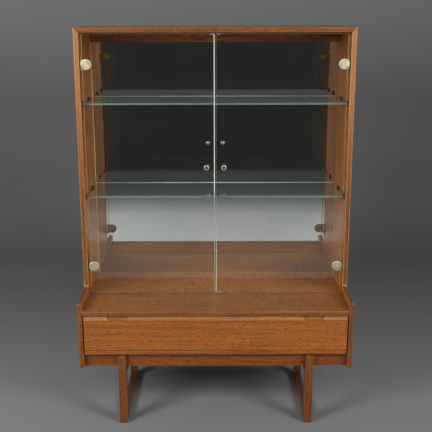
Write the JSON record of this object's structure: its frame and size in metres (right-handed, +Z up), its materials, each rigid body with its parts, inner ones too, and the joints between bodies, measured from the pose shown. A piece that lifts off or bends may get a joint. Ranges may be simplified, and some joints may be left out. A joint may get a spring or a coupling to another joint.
{
  "type": "display cabinet",
  "caption": "Glazed wooden display cabinet on sled legs: a set-back upper case with hinged glass doors, glass shelves and a mirror back, above a deeper case with a drawer.",
  "frame": {"origin": "on the floor, midway across the cabinet's width and depth", "axes": "+X to the right seen from the front, +Y to the back and +Z up; the doors and drawer face -Y"},
  "size_m": [0.914, 0.43, 1.315],
  "materials": {
    "teak_veneer": "satin oiled veneer, lengthwise grain",
    "teak_solid": "satin oiled solid wood",
    "pale_wood": "planed, unfinished",
    "plywood": "thin sanded plywood",
    "clear_glass": "clear float glass, ground edges",
    "mirror_glass": "silvered glass",
    "hinge_brass": "lacquered, slightly dulled",
    "bright_steel": "zinc-plated",
    "knob_metal": "turned and polished",
    "brown_plastic": "moulded",
    "washer_fibre": "thin translucent washer"
  },
  "bodies": {
    "cabinet": {"left_side_panel": "teak_veneer", "right_side_panel": "teak_veneer", "top_panel": "teak_veneer", "display_floor": "teak_veneer", "case_bottom": "teak_veneer", "front_rail": "teak_solid", "top_back_rail": "teak_solid", "mirror": "mirror_glass", "back_panel": "plywood", "back_panel_pins": "bright_steel", "upper_shelf": "clear_glass", "lower_shelf": "clear_glass", "shelf_studs": "brown_plastic", "carcass_dowels": "pale_wood", "left_drawer_runner": "pale_wood", "right_drawer_runner": "pale_wood", "drawer_runner_screws": "bright_steel", "left_front_leg": "teak_solid", "right_front_leg": "teak_solid", "left_rear_leg": "teak_solid", "right_rear_leg": "teak_solid", "left_floor_runner": "teak_solid", "right_floor_runner": "teak_solid", "left_top_bar": "teak_solid", "right_top_bar": "teak_solid", "leg_frame_dowels": "pale_wood", "top_bar_screws": "bright_steel", "hinge_plates": "hinge_brass", "hinge_pins": "bright_steel", "hinge_plate_screws": "bright_steel", "door_catch": "brown_plastic", "catch_screws": "bright_steel"},
    "left_door": {"left_door_glass": "clear_glass", "left_hinge_clamps": "hinge_brass", "left_hinge_caps": "hinge_brass", "left_hinge_washers": "washer_fibre", "left_hinge_cap_screws": "bright_steel", "left_door_knob": "knob_metal", "left_knob_screw": "bright_steel", "left_strike_clip": "bright_steel"},
    "right_door": {"right_door_glass": "clear_glass", "right_hinge_clamps": "hinge_brass", "right_hinge_caps": "hinge_brass", "right_hinge_washers": "washer_fibre", "right_hinge_cap_screws": "bright_steel", "right_door_knob": "knob_metal", "right_knob_screw": "bright_steel", "right_strike_clip": "bright_steel", "right_foot_clip": "bright_steel"},
    "drawer": {"drawer_front": "teak_veneer", "drawer_top_lipping": "teak_solid", "drawer_bottom_lipping": "teak_solid", "drawer_left_side": "pale_wood", "drawer_right_side": "pale_wood", "drawer_back": "pale_wood", "drawer_bottom": "plywood", "drawer_dowels": "pale_wood"}
  },
  "joints": [
    {"name": "left_door_hinge", "type": "hinge", "parent": "cabinet", "child": "left_door", "pos_m": [-0.4349, -0.0423, 0.8535], "axis": [0, 0, -1], "range_deg": [0, 90]},
    {"name": "right_door_hinge", "type": "hinge", "parent": "cabinet", "child": "right_door", "pos_m": [0.4349, -0.0423, 0.8535], "axis": [0, 0, 1], "range_deg": [0, 90]},
    {"name": "drawer_slide", "type": "slide", "parent": "cabinet", "child": "drawer", "axis": [0, -1, 0], "range_m": [0, 0.27]}
  ]
}
